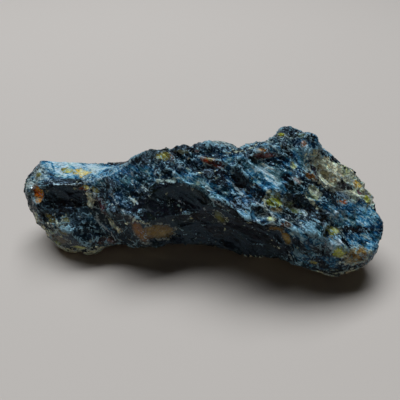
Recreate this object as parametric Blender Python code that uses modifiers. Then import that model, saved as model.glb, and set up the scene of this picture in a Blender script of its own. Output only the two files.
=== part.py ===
"""Raw amber piece: one broken lump, modelled lying on its two worn flats.

Metres in Blender, millimetres in the values below. +X runs along the length, -Y is the front,
+Z is up. The lump starts as a lofted blank, loses a scoop for every face that broke off it,
gains the knobs that stand proud of it, and then gets its flow ledges, chips and lumps. Below
z = 0 it is worn flat, where it lies on its left lobe and on its right one.
"""

import math

import bmesh
import bpy
import numpy as np
from mathutils import Matrix, Vector

MM = 0.001
NAME = "raw_amber"

# Driving dimensions, in mm.
LEFT_END = -60.3
RIGHT_END = 63.8
END_BLUNTNESS = 8.0
SECTION_SQUARENESS = 3.0
BLANK_RINGS = 64
BLANK_SPOKES = 72
VOXEL = 0.8
TRIANGLES = 8700
LEDGE_SPACING = 4.6
LEDGE_HEIGHT = 1.5
CHIP_SIZE = 8.5
CHIP_TILT = 0.85

# The blank's sections along X: place, front, back, underside, top.
SECTIONS = (
    (-61.0, -1.0, 21.0, 3.0, 32.0),
    (-50.0, -7.0, 21.0, -1.6, 33.0),
    (-38.0, -11.0, 20.0, -1.6, 33.0),
    (-25.0, -12.5, 20.0, 2.0, 35.5),
    (-8.0, -18.0, 20.0, 4.0, 44.0),
    (10.0, -22.0, 20.0, 4.0, 46.0),
    (30.0, -23.0, 18.0, 1.0, 52.0),
    (45.0, -24.0, 14.0, -1.4, 48.0),
    (56.0, -24.0, 8.0, -0.8, 38.0),
    (63.0, -23.0, 4.0, 0.0, 30.0),
)

# Lumps that stand proud: centre, radius, direction of the length, stretch along it.
LUMPS = {
    "glassy_bump": ((9.5, 8.0, 31.8), 6.0, (1, 0, 0), 1.6),
    "knob": ((37.0, 2.0, 39.5), 4.6, (1, 0, 0), 1.0),
    "left_lump": ((-40.0, 0.5, 10.0), 9.5, (1, -0.2, 0), 1.4),
    "right_lump": ((42.0, -9.0, 13.0), 11.0, (1, 0, 0), 1.2),
}

# Broken faces: a point on the face, the way it faces, the radius of its hollow (FLAT where it
# is nearly flat), the direction in which the hollow is stretched, and by how much.
FLAT = 300.0
ROUND = ((1, 0, 0), 1.0)
DOWNHILL = (0.5, -0.6, -0.6)
SCOOPS = {
    "left_top": ((-40, 5, 27.6), (-0.12, -0.06, 1), 30, (1, 0, 0), 1.15),
    "left_slope": ((-54, 7, 27), (-0.62, -0.19, 0.76), FLAT, *ROUND),
    "left_back": ((-42, 14, 26.8), (-0.05, 0.6, 0.78), 90, *ROUND),
    "left_cliff": ((-37, -2.6, 27), (-0.05, -0.9, 0.42), 14, (1, 0, 0), 1.2),
    "left_front": ((-41.5, -1.0, 24), (0, -1, 0.1), 6.5, (1, 0, 0.1), 1.3),
    "pit": ((-51.5, 0, 22.5), (-0.45, -0.75, 0.45), 2.6, *ROUND),
    "groove": ((-46, -5.5, 17.8), (-0.2, -1, 0.2), 2.6, (1, -0.3, 0.05), 5.5),
    "left_cheek": ((-54.5, 1, 10), (-0.85, -0.3, -0.42), FLAT, *ROUND),
    "left_low": ((-50, -5, 4), (-0.5, -0.55, -0.65), FLAT, *ROUND),
    "rib": ((-28, -9, 19), (-0.45, -0.85, 0.15), 12, (0.3, 0, -1), 1.4),
    "shoulder": ((-22, -4, 34), (-0.05, -0.75, 0.66), 60, *ROUND),
    "mid_top": ((-8, -8, 35.8), (-0.02, -0.5, 0.86), 60, *ROUND),
    "shelf": ((5, -13.5, 34), (0.2, -0.5, 0.85), 14, (0.85, -0.35, -0.4), 2.2),
    "mid_back": ((-6, 5, 36.2), (-0.08, 0.6, 0.8), 70, *ROUND),
    "neck_back": ((-22, 6, 30.2), (-0.24, 0.5, 0.84), 38, *ROUND),
    "saddle": ((17, 5, 35.2), (-0.12, 0.45, 0.87), 20, *ROUND),
    "saddle_front": ((15.5, -4, 41), (-0.05, -0.1, 1), 14, *ROUND),
    "peak_back": ((31, 6, 44.2), (0, 0.6, 0.8), FLAT, *ROUND),
    "peak_top": ((29, -1, 43.6), (-0.05, 0, 1), 22, *ROUND),
    "hollow": ((9, -11.5, 18), (0.03, -1, -0.2), 17, (1, -0.17, -0.3), 1.75),
    "hollow_left": ((-5.5, -10.2, 31), (-0.1, -1, -0.1), 10, (1, 0, -0.35), 1.35),
    "hollow_middle": ((7, -13, 25), (0.05, -1, -0.15), 9, (0.9, 0, -0.4), 1.5),
    "hollow_right": ((24, -17, 20), (0.1, -1, -0.1), 8, (1, 0, -0.15), 1.2),
    "slope": ((26, -9, 37.5), (0.1, -0.71, 0.69), 80, *ROUND),
    "cleft": ((15.5, -11.5, 34.5), (-0.3, -0.6, 0.7), 4, DOWNHILL, 2.6),
    "pocket": ((34.5, -15, 27.5), (0.15, -0.7, 0.7), 6, *ROUND),
    "right_slope": ((48.5, -1, 32), (0.5, -0.52, 0.68), FLAT, *ROUND),
    "crust_dent": ((47, -3, 31.5), (0.5, -0.52, 0.68), 7, (0.6, 0, -0.5), 1.6),
    "right_back": ((49, 5, 33.8), (0.6, 0.3, 0.74), FLAT, *ROUND),
    "right_end": ((62.5, -3, 20), (0.85, 0.2, 0.35), FLAT, *ROUND),
    "arch": ((-4, -8, 8.2), (0, -0.55, -0.83), 62, *ROUND),
    "arch_right": ((20, -10, 4.6), (0.12, -0.5, -0.86), 50, *ROUND),
    "arch_left": ((-19, -7, 7.5), (-0.1, -0.5, -0.85), 20, *ROUND),
    "back_left": ((-36, 19, 15), (-0.15, 1, 0.3), 60, *ROUND),
    "back_middle": ((0, 16.5, 19), (0.12, 1, 0.12), 40, (1, 0, 0.3), 1.3),
    "back_right": ((33, 13, 26), (0.3, 0.93, 0.2), 55, *ROUND),
    "back_low": ((-14, 15, 7), (-0.1, 0.6, -0.8), 45, *ROUND),
    "back_under": ((24, 9, 5.5), (0.1, 0.65, -0.75), 34, *ROUND),
    "back_chip": ((14, 15.5, 29), (-0.15, 0.8, 0.6), 16, (1, 0, 0.4), 1.4),
    "back_end": ((-53, 15, 12), (-0.75, 0.6, -0.2), 40, *ROUND),
    "back_crust": ((54, 3, 12), (0.62, 0.78, -0.1), 45, *ROUND),
}

# The flow ledges of the right two thirds are edges of layers stacked along this direction.
LAYER_STACK = np.array((0.586, 0.660, 0.533)) / np.linalg.norm((0.586, 0.660, 0.533))

# The smooth face under the arch keeps a quarter of the relief: its centre and half lengths.
CALM_CENTRE = np.array((9.0, -15.0, 17.0))
CALM_REACH = np.array((23.0, 9.0, 14.5))


def clear_scene():
    for obj in list(bpy.data.objects):
        bpy.data.objects.remove(obj, do_unlink=True)


def new_collection(name):
    collection = bpy.data.collections.new(name)
    bpy.context.scene.collection.children.link(collection)
    return collection


def new_object(name, bm, collection):
    mesh = bpy.data.meshes.new(name)
    bm.to_mesh(mesh)
    bm.free()
    obj = bpy.data.objects.new(name, mesh)
    collection.objects.link(obj)
    return obj


def baked(obj, name, collection):
    """The object with its modifiers carried out, as a new object; the old one is removed."""
    bpy.context.view_layer.update()
    graph = bpy.context.evaluated_depsgraph_get()
    mesh = bpy.data.meshes.new_from_object(obj.evaluated_get(graph))
    bpy.data.objects.remove(obj, do_unlink=True)
    made = bpy.data.objects.new(name, mesh)
    collection.objects.link(made)
    return made


def section_at(x):
    """Front, back, underside and top at x, on a smooth curve through the sections."""
    rows = np.array(SECTIONS)
    places = rows[:, 0]
    i = int(np.clip(np.searchsorted(places, x) - 1, 0, len(rows) - 2))
    slopes = np.gradient(rows[:, 1:], places, axis=0)
    step = places[i + 1] - places[i]
    t = min(max((x - places[i]) / step, 0.0), 1.0)
    start = (1 + 2 * t) * (1 - t) ** 2 * rows[i, 1:] + t * (1 - t) ** 2 * step * slopes[i]
    end = t * t * (3 - 2 * t) * rows[i + 1, 1:] - t * t * (1 - t) * step * slopes[i + 1]
    return start + end


def blank_point(along, around):
    """The blank's skin at `along` from -1 to 1 and at the angle `around` the X axis, in mm."""
    middle = (LEFT_END + RIGHT_END) / 2
    x = middle + (RIGHT_END - LEFT_END) / 2 * along
    front, back, under, top = section_at(x)
    closing = math.sqrt(max(1 - abs(along) ** END_BLUNTNESS, 0))
    cosine, sine = math.cos(around), math.sin(around)
    power = SECTION_SQUARENESS
    reach = closing * (abs(cosine) ** power + abs(sine) ** power) ** (-1 / power)
    y = (front + back) / 2 + (back - front) / 2 * reach * cosine
    z = (under + top) / 2 + (top - under) / 2 * reach * sine
    return Vector((x, y, z))


def make_blank(collection):
    """A UV sphere with its poles at the two ends, each vertex moved onto the blank's skin."""
    bm = bmesh.new()
    bmesh.ops.create_uvsphere(bm, u_segments=BLANK_SPOKES, v_segments=BLANK_RINGS, radius=1)
    for vert in bm.verts:
        place = vert.co
        vert.co = blank_point(place.z, math.atan2(place.y, place.x)) * MM
    return new_object("blank", bm, collection)


def make_ball(name, centre, radius, length_way, stretch, collection):
    """A ball stretched along one direction, for a lump or for the hollow of a broken face."""
    way = Vector(length_way).normalized()
    stretched = Matrix.Scale(stretch, 4, way)
    bm = bmesh.new()
    bmesh.ops.create_icosphere(bm, subdivisions=4, radius=radius * MM)
    bmesh.ops.transform(bm, matrix=stretched, verts=bm.verts)
    bmesh.ops.translate(bm, vec=Vector(centre) * MM, verts=bm.verts)
    ball = new_object(name, bm, collection)
    ball.hide_render = True
    ball.display_type = "WIRE"
    return ball


def make_scoop(name, point, facing, radius, length_way, stretch, collection):
    centre = Vector(point) + Vector(facing).normalized() * radius
    return make_ball(name, centre, radius, length_way, stretch, collection)


def add_boolean(obj, operation, collection):
    modifier = obj.modifiers.new(operation.lower(), "BOOLEAN")
    modifier.operation = operation
    modifier.solver = "EXACT"
    modifier.operand_type = "COLLECTION"
    modifier.collection = collection


def add_remesh(obj):
    modifier = obj.modifiers.new("even_skin", "REMESH")
    modifier.mode = "VOXEL"
    modifier.voxel_size = VOXEL * MM


def cell_values(cells, seed):
    """A fixed number from 0 to 1 for every whole-numbered cell of a lattice."""
    low = 0xFFFFFFFF
    x, y, z = (cells[..., i].astype(np.int64) & low for i in range(3))
    mixed = (x * 0x8DA6B343 + y * 0xD8163841 + z * 0xCB1AB31F + seed * 0x9E3779B1) & low
    mixed = ((mixed ^ (mixed >> 15)) * 0x2C1B3C6D) & low
    mixed = ((mixed ^ (mixed >> 12)) * 0x297A2D39) & low
    return ((mixed ^ (mixed >> 15)) & low) / (low + 1)


def cloud(places, size, seed):
    """Smooth noise from -1 to 1: corner values of a lattice of this size, blended inside it."""
    scaled = places / size
    cells = np.floor(scaled)
    part = scaled - cells
    part = part * part * (3 - 2 * part)
    total = np.zeros(len(places))
    for corner in np.ndindex(2, 2, 2):
        weight = np.prod(np.where(corner, part, 1 - part), axis=-1)
        total += weight * cell_values(cells + corner, seed)
    return 2 * total - 1


def chips(places, size, seed):
    """Flat chips: each place takes the tilted plane of the nearest of the scattered seeds."""
    scaled = places / size
    cells = np.floor(scaled)
    nearest = np.full(len(places), np.inf)
    height = np.zeros(len(places))
    for step in np.ndindex(3, 3, 3):
        near = cells + step - 1
        jitter = [cell_values(near, seed + i) for i in range(3)]
        tilt = [cell_values(near, seed + i) for i in range(3, 6)]
        away = scaled - near - 0.15 - 0.7 * np.stack(jitter, axis=-1)
        distance = np.linalg.norm(away, axis=-1)
        plane = ((2 * np.stack(tilt, axis=-1) - 1) * away).sum(axis=-1)
        height = np.where(distance < nearest, plane, height)
        nearest = np.minimum(nearest, distance)
    return height


def eased(low, high, values):
    """0 below `low`, 1 above `high`, with a smooth change between."""
    t = np.clip((values - low) / (high - low), 0, 1)
    return t * t * (3 - 2 * t)


def ledges(places):
    """Steps of the layers: each rises slowly and drops sharply, and wanders a little."""
    depth = places @ LAYER_STACK + 3.2 * cloud(places, 13, 11) + 0.9 * cloud(places, 4.5, 12)
    turn = (depth / LEDGE_SPACING) % 1
    step = np.minimum(turn / 0.75, (1 - turn) / 0.25) - 0.5
    return LEDGE_HEIGHT * step * (0.65 + 0.5 * cloud(places, 9, 13))


def relief(places, facing):
    """How far the skin stands out at each place in mm: ledges, lumps and chips."""
    rightward = eased(-16, 0, places[:, 0])
    upward = eased(-0.3, 0.2, facing[:, 2])
    swell = 0.8 * cloud(places, 14, 1) + 0.4 * cloud(places, 6.5, 2)
    inside = np.linalg.norm((places - CALM_CENTRE) / CALM_REACH, axis=-1)
    strength = 0.25 + 0.75 * eased(0.8, 1.15, inside)
    broken = CHIP_TILT * chips(places, CHIP_SIZE, 20)
    return strength * (ledges(places) * rightward * upward + swell + broken)


def vertex_values(mesh, name):
    values = np.empty(len(mesh.vertices) * 3)
    mesh.vertices.foreach_get(name, values)
    return values.reshape(-1, 3)


def roughen(obj):
    """Moves every vertex along its normal by the relief there."""
    mesh = obj.data
    places = vertex_values(mesh, "co") / MM
    facing = vertex_values(mesh, "normal")
    moved = places + facing * relief(places, facing)[:, None]
    mesh.vertices.foreach_set("co", (moved * MM).ravel())
    mesh.update()


def add_decimate(obj):
    modifier = obj.modifiers.new("few_faces", "DECIMATE")
    modifier.ratio = TRIANGLES / (2 * len(obj.data.vertices))


def wear_flat(obj, collection):
    """Cuts off what reaches below z = 0, where the piece lies on the table."""
    bm = bmesh.new()
    bmesh.ops.create_cube(bm, size=1, matrix=Matrix.Diagonal((0.2, 0.2, 0.04, 1)))
    bmesh.ops.translate(bm, vec=(0, 0, -0.02), verts=bm.verts)
    table = new_object("wear_plane", bm, collection)
    table.hide_render = True
    table.display_type = "WIRE"
    modifier = obj.modifiers.new("worn_flats", "BOOLEAN")
    modifier.operation = "DIFFERENCE"
    modifier.solver = "EXACT"
    modifier.object = table


def centre_over_origin(obj):
    """Moves the piece sideways so that the middle of its box is over the origin."""
    corners = vertex_values(obj.data, "co")
    middle = (corners.min(axis=0) + corners.max(axis=0)) / 2
    obj.data.transform(Matrix.Translation((-middle[0], -middle[1], 0)))


def amber_material():
    """Dark blue-black raw amber with a waxy, half-broken surface."""
    material = bpy.data.materials.new("amber")
    material.use_nodes = True
    shader = material.node_tree.nodes["Principled BSDF"]
    shader.inputs["Base Color"].default_value = (0.022, 0.04, 0.06, 1)
    shader.inputs["Roughness"].default_value = 0.35
    shader.inputs["Metallic"].default_value = 0.0
    return material


def build():
    clear_scene()
    parts = new_collection(NAME)
    lumps = new_collection("lumps")
    scoops = new_collection("scoops")
    tools = new_collection("tools")
    blank = make_blank(parts)
    for name, values in LUMPS.items():
        make_ball(name, *values, lumps)
    for name, values in SCOOPS.items():
        make_scoop(name, *values, scoops)
    add_boolean(blank, "DIFFERENCE", scoops)
    add_boolean(blank, "UNION", lumps)
    add_remesh(blank)
    skin = baked(blank, "skin", parts)
    roughen(skin)
    add_decimate(skin)
    light = baked(skin, "light_skin", parts)
    wear_flat(light, tools)
    amber = baked(light, NAME, parts)
    centre_over_origin(amber)
    amber.data.materials.clear()
    amber.data.materials.append(amber_material())
    amber.data.shade_smooth()
    amber.data.set_sharp_from_angle(angle=math.radians(35))


build()
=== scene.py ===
import math

import bpy
import numpy as np
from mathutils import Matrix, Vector


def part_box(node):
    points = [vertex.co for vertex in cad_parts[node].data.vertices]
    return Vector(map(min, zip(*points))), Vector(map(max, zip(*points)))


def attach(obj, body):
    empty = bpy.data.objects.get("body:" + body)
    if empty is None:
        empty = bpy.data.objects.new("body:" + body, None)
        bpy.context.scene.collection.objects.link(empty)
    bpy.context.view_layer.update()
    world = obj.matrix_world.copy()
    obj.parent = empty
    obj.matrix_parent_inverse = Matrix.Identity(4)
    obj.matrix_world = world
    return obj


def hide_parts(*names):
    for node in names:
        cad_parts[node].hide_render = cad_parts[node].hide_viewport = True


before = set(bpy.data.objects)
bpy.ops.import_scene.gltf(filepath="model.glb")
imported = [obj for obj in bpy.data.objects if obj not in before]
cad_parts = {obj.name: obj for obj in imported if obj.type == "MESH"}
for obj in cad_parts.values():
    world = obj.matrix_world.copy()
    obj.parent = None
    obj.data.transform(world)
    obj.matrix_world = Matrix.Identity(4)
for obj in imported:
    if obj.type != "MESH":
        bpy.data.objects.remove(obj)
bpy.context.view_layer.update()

MM = 0.001

# ---- The block of resin ---------------------------------------------------------------
# Before anything broke off it the lump was one block of hardened resin, thin at its left
# end and tall at its right. Sections across it give its front, back, underside and top,
# and every direction of its skin starts from a spine inside it. All places are in mm.

LEFT_END = -60.3
RIGHT_END = 63.8
END_BLUNTNESS = 8.0
SECTION_SQUARENESS = 3.0
RINGS = 396
SPOKES = 250

SECTIONS = np.array((  # place along the length, front, back, underside, top
    (-61.0, -1.0, 21.0, 3.0, 32.0),
    (-50.0, -7.0, 21.0, -1.6, 33.0),
    (-38.0, -11.0, 20.0, -1.6, 33.0),
    (-25.0, -12.5, 20.0, 2.0, 35.5),
    (-8.0, -18.0, 20.0, 4.0, 44.0),
    (10.0, -22.0, 20.0, 4.0, 46.0),
    (30.0, -23.0, 18.0, 1.0, 52.0),
    (45.0, -24.0, 14.0, -1.4, 48.0),
    (56.0, -24.0, 8.0, -0.8, 38.0),
    (63.0, -23.0, 4.0, 0.0, 30.0),
))
SPINE = np.array(((-50.0, 7, 16), (-20, 2, 20), (0, 0, 22), (25, -3, 23), (52, -8, 16)))


def unit(vector):
    """The vector divided by its own length."""
    return np.asarray(vector, float) / np.linalg.norm(vector)


def eased(low, high, values):
    """0 below low, 1 above high, and a smooth S between."""
    t = np.clip((values - low) / (high - low), 0, 1)
    return t * t * (3 - 2 * t)


def curve_through(rows, x):
    """The rows' other columns at each x: cubic pieces whose slopes come from the neighbours."""
    places, values = rows[:, 0], rows[:, 1:]
    slopes = np.gradient(values, places, axis=0)
    i = np.clip(np.searchsorted(places, x) - 1, 0, len(rows) - 2)
    step = (places[i + 1] - places[i])[..., None]
    t = np.clip((x - places[i])[..., None] / step, 0, 1)
    leaving = (1 + 2 * t) * (1 - t) ** 2 * values[i] + t * (1 - t) ** 2 * step * slopes[i]
    arriving = t * t * (3 - 2 * t) * values[i + 1] - t * t * (1 - t) * step * slopes[i + 1]
    return leaving + arriving


def block_skin(along, around):
    """Places on the block's skin.

    x goes from end to end with `along` from -1 to 1. Across it lies a squared-off oval: the
    half depth and half height times the cosine and sine of `around`, over the cube-norm of
    the two, all shrunk by the root of 1 - |along|^8 so that the ends close.
    """
    x = (LEFT_END + RIGHT_END) / 2 + (RIGHT_END - LEFT_END) / 2 * along
    front, back, under, top = np.moveaxis(curve_through(SECTIONS, x), -1, 0)
    closing = np.sqrt(1 - np.abs(along) ** END_BLUNTNESS)
    power = SECTION_SQUARENESS
    norm = (np.abs(np.cos(around)) ** power + np.abs(np.sin(around)) ** power) ** (1 / power)
    y = (front + back) / 2 + (back - front) / 2 * closing * np.cos(around) / norm
    z = (under + top) / 2 + (top - under) / 2 * closing * np.sin(around) / norm
    return np.stack([x + 0 * around, y, z], axis=-1)


along = -np.cos(np.pi * (np.arange(RINGS) + 0.5) / RINGS)[:, None]
around = (2 * np.pi * np.arange(SPOKES) / SPOKES)[None, :]
block = block_skin(along, around)
spine_x = SPINE[0, 0] + (SPINE[-1, 0] - SPINE[0, 0]) * (along + 1) / 2
spine = np.concatenate([spine_x[..., None], curve_through(SPINE, spine_x)], axis=-1)
outward = block - spine
reach = np.linalg.norm(outward, axis=-1)
outward = outward / reach[..., None]

# ---- What broke off and what stands proud -----------------------------------------------
# Resin breaks like glass, in shell-shaped hollows. Each broken face is the wall of a ball
# that touches one point of the face and may be stretched one way. The lumps are resin that
# set in round drops. Both are met along the same directions from the spine.

FLAT = 300.0
ROUND = ((1, 0, 0), 1.0)
DOWNHILL = (0.5, -0.6, -0.6)
BREAK_EDGE = 0.25
LUMP_EDGE = 0.8
REACH_LIMITS = (1, 1000)  # a face stops short of the spine, and a ball that is missed cuts nothing

SCOOPS = {  # a point on the face, the way it faces, radius, direction and amount of stretch
    "left_top": ((-40, 5, 27.6), (-0.12, -0.06, 1), 30, (1, 0, 0), 1.15),
    "left_slope": ((-54, 7, 27), (-0.62, -0.19, 0.76), FLAT, *ROUND),
    "left_back": ((-42, 14, 26.8), (-0.05, 0.6, 0.78), 90, *ROUND),
    "left_cliff": ((-37, -2.6, 27), (-0.05, -0.9, 0.42), 14, (1, 0, 0), 1.2),
    "left_front": ((-41.5, -1.6, 24), (0, -1, 0.1), 10, (1, 0, 0.1), 1.5),
    "pit": ((-51, -0.3, 23.8), (-0.35, -0.88, 0.3), 3.4, *ROUND),
    "groove": ((-46, -5.5, 17.8), (-0.2, -1, 0.2), 2.6, (1, -0.3, 0.05), 5.5),
    "left_cheek": ((-54.5, 1, 10), (-0.85, -0.3, -0.42), FLAT, *ROUND),
    "left_low": ((-50, -5, 4), (-0.5, -0.55, -0.65), FLAT, *ROUND),
    "rib": ((-28, -9, 19), (-0.45, -0.85, 0.15), 12, (0.3, 0, -1), 1.4),
    "shoulder": ((-22, -4, 33.7), (-0.05, -0.75, 0.66), 60, *ROUND),
    "mid_top": ((-8, -8, 35.0), (-0.02, -0.5, 0.86), 60, *ROUND),
    "shelf": ((5, -13.5, 34), (0.2, -0.5, 0.85), 14, (0.85, -0.35, -0.4), 2.2),
    "mid_back": ((-6, 5, 35.3), (-0.08, 0.6, 0.8), 70, *ROUND),
    "neck_back": ((-22, 6, 30.2), (-0.24, 0.5, 0.84), 38, *ROUND),
    "saddle": ((17, 5, 35.2), (-0.12, 0.45, 0.87), 20, *ROUND),
    "saddle_back": ((22, 14, 34), (-0.1, 0.3, 0.95), 14, *ROUND),
    "saddle_front": ((15.5, -4, 41), (-0.05, -0.1, 1), 14, *ROUND),
    "peak_back": ((31, 6, 44.2), (0, 0.6, 0.8), FLAT, *ROUND),
    "peak_top": ((29, -1, 43.1), (-0.05, 0, 1), 22, *ROUND),
    "peak_dent": ((33, 2.5, 43.4), (-0.1, 0, 1), 3.5, *ROUND),
    "hollow": ((9, -11.5, 18), (0.03, -1, -0.2), 17, (1, -0.17, -0.3), 1.75),
    "hollow_left": ((-5.5, -9.2, 32.6), (-0.1, -1, -0.05), 12, (1, 0, -0.3), 1.35),
    "hollow_middle": ((7, -13, 25), (0.05, -1, -0.15), 9, (0.9, 0, -0.4), 1.5),
    "hollow_right": ((24, -17, 20), (0.1, -1, -0.1), 8, (1, 0, -0.15), 1.2),
    "slope": ((26, -9, 37.5), (0.1, -0.71, 0.69), 80, *ROUND),
    "cleft": ((15.5, -11.5, 34.5), (-0.3, -0.6, 0.7), 4, DOWNHILL, 2.6),
    "pocket": ((34.5, -15, 27.5), (0.15, -0.7, 0.7), 6, *ROUND),
    "terrace": ((43.8, -20.6, 20.6), (0, -0.25, 0.97), 3.6, *ROUND),
    "right_slope": ((48.5, -1, 32), (0.42, -0.52, 0.74), FLAT, *ROUND),
    "crust_dent": ((47, -3, 31.5), (0.5, -0.52, 0.68), 7, (0.6, 0, -0.5), 1.6),
    "right_back": ((49, 5, 33.6), (0.5, 0.3, 0.8), FLAT, *ROUND),
    "right_end": ((62.1, -3, 21), (0.88, 0.08, 0.28), FLAT, *ROUND),
    "arch": ((-4, -8, 8.2), (0, -0.55, -0.83), 62, *ROUND),
    "arch_right": ((20, -10, 4.6), (0.12, -0.5, -0.86), 50, *ROUND),
    "arch_left": ((-19, -7, 7.5), (-0.1, -0.5, -0.85), 20, *ROUND),
    "back_left": ((-36, 19, 15), (-0.15, 1, 0.3), 60, *ROUND),
    "back_middle": ((0, 16.5, 19), (0.12, 1, 0.12), 40, (1, 0, 0.3), 1.3),
    "back_right": ((33, 13, 26), (0.3, 0.93, 0.2), 55, *ROUND),
    "back_low": ((-14, 15, 7), (-0.1, 0.6, -0.8), 45, *ROUND),
    "back_under": ((24, 9, 5.5), (0.1, 0.65, -0.75), 34, *ROUND),
    "back_chip": ((14, 15.5, 29), (-0.15, 0.8, 0.6), 16, (1, 0, 0.4), 1.4),
    "back_end": ((-53, 15, 12), (-0.75, 0.6, -0.2), 40, *ROUND),
    "back_crust": ((54, 3, 12), (0.62, 0.78, -0.1), 45, *ROUND),
}
LUMPS = {  # centre, radius, direction and amount of stretch
    "glassy_bump": ((9.5, 8, 31.8), 6, (1, 0, 0), 1.6),
    "knob": ((37, 2, 39.5), 4.6, (1, 0, 0), 1.0),
    "left_lump": ((-40, 0.5, 10), 9.5, (1, -0.2, 0), 1.4),
    "right_lump": ((42, -9, 13), 11, (1, 0, 0), 1.2),
}


def ball_crossings(start, way, centre, radius, length_way, stretch):
    """Distances along each way at which it enters and leaves a stretched ball.

    The ball is squeezed back to a unit ball, where the crossings are the two roots of
    |start + t way|^2 = 1. A way that misses it has no entry (infinity) and leaves at 0.
    """
    axis = unit(length_way)
    squeeze = 1 / stretch - 1
    offset = (start - centre) / radius
    offset = offset + (offset @ axis)[..., None] * axis * squeeze
    step = way / radius
    step = step + (step @ axis)[..., None] * axis * squeeze
    a = (step * step).sum(axis=-1)
    b = (offset * step).sum(axis=-1)
    root = b * b - a * ((offset * offset).sum(axis=-1) - 1)
    half = np.sqrt(np.maximum(root, 0))
    entry = np.where((root > 0) & (b < 0), (-b - half) / a, np.inf)
    leaving = np.where((root > 0) & (half > b), (half - b) / a, 0)
    return entry, leaving


def rounding(one_reach, other_reach, width):
    """How far the meeting of two surfaces is rounded over.

    It is a quarter of the width where they are level, and times the square of the share of
    the width that their gap leaves, so that it ends where the gap is as wide.
    """
    near = np.maximum(width - np.abs(one_reach - other_reach), 0) / width
    return near * near * width / 4


for point, facing_way, radius, length_way, stretch in SCOOPS.values():
    centre = np.array(point) + unit(facing_way) * radius
    entry, _ = ball_crossings(spine, outward, centre, radius, length_way, stretch)
    entry = np.clip(entry, *REACH_LIMITS)
    reach = np.minimum(reach, entry) - rounding(reach, entry, BREAK_EDGE)

for centre, radius, length_way, stretch in LUMPS.values():
    _, leaving = ball_crossings(spine, outward, np.array(centre), radius, length_way, stretch)
    reach = np.maximum(reach, leaving) + rounding(reach, leaving, LUMP_EDGE)

broken = spine + outward * reach[..., None]

# ---- Ledges, chips and grain ----------------------------------------------------------------
# The resin flowed in layers, so its right two thirds break in steps along them. Everywhere
# else it broke into small flat chips. The face under the arch is the youngest break and is
# almost smooth.

LAYER_STACK = unit((0.586, 0.660, 0.533))
LAYER_BENDS = ((3.2, 13, 11), (0.9, 4.5, 12))  # height and size in mm, and a seed
LAYERS_ALONG = (-16, 0)  # the layers begin to show at the first x and are full at the second
LAYERS_FACING = (-0.3, 0.2)  # the same for how far up a face looks
LEDGES = dict(height=1.5, spacing=4.6, rise=0.75, evenness=0.65, unevenness=0.5, patch=9, seed=13)
STEPS = dict(height=0.25, spacing=1.7, rise=0.7, evenness=0.6, unevenness=0.6, patch=5, seed=14)
SWELLS = ((0.8, 14, 1), (0.4, 6.5, 2), (0.12, 2.6, 3))  # height and size in mm, and a seed
FLAT_CHIPS = ((0.85, 8.5, 20), (0.3, 3.2, 40))  # tilt, size in mm and a seed
FLOW_WAY = unit((0.80, -0.35, -0.45))
BLADE_LENGTH = 2.6
BLADES = (  # chips drawn out along the flow: tilt, more tilt in the layers, size in mm, a seed
    (0.3, 0.45, 2.4, 60),
    (0.16, 0.14, 1.3, 70),
)
CALM_PLATES = (0.75, 4.6, 90)  # tilt, size in mm and a seed
CALM_SHARE = 0.25  # what a smooth face keeps of the relief
CALM_EDGE = (0.85, 1.1)  # shares of its reach between which the rest comes in
CELL_MARGIN = 0.15  # how far a seed keeps from the sides of its cell
WORD = 0xFFFFFFFF
CELL_FACTORS = (0x8DA6B343, 0xD8163841, 0xCB1AB31F, 0x9E3779B1)  # for x, y, z and the seed
STIRS = ((15, 0x2C1B3C6D), (12, 0x297A2D39))
LAST_STIR = 15
TINY = 1e-9  # so that no face of no area divides by nothing
CALM_PLACES = (  # centre and reach each way of the smooth faces
    ((9.0, -15.0, 17.0), (25.0, 9.0, 14.0)),
    ((-2.0, -12.0, 26.5), (13.0, 6.0, 7.5)),
    ((-41.0, -3.0, 24.0), (7.0, 4.0, 5.0)),
    ((-38.0, 8.0, 28.0), (17.0, 9.0, 4.0)),
    ((-20.0, -10.5, 28.0), (5.5, 4.0, 5.0)),
    ((-11.0, -14.0, 18.0), (9.0, 5.0, 5.5)),
    ((10.0, 9.0, 37.0), (9.0, 6.0, 4.0)),
    ((-40.0, -8.5, 10.0), (8.0, 5.0, 4.5)),
    ((61.5, -12.0, 20.0), (4.0, 5.0, 5.0)),
)


def cell_values(cells, seed):
    """A fixed number from 0 to 1 for every whole-numbered cell of a lattice.

    The cell's numbers and the seed, each times a large odd factor, are added up. The sum is
    stirred by laying its upper bits over its lower ones and multiplying, all within 32 bits.
    """
    numbers = [cells[..., i].astype(np.int64) & WORD for i in range(3)] + [seed]
    mixed = sum(number * factor for number, factor in zip(numbers, CELL_FACTORS)) & WORD
    for shift, factor in STIRS:
        mixed = ((mixed ^ (mixed >> shift)) * factor) & WORD
    return ((mixed ^ (mixed >> LAST_STIR)) & WORD) / (WORD + 1)


def cloud(places, size, seed):
    """Smooth noise from -1 to 1: corner values of a lattice of this size, blended inside it."""
    scaled = places / size
    cells = np.floor(scaled)
    part = scaled - cells
    part = part * part * (3 - 2 * part)
    total = 0
    for corner in np.ndindex(2, 2, 2):
        weight = np.prod(np.where(corner, part, 1 - part), axis=-1)
        total = total + weight * cell_values(cells + corner, seed)
    return 2 * total - 1


def clouds(places, rows, start=0):
    """The start plus clouds of several sizes, each times its own height."""
    return sum((height * cloud(places, size, seed) for height, size, seed in rows), start)


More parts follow.
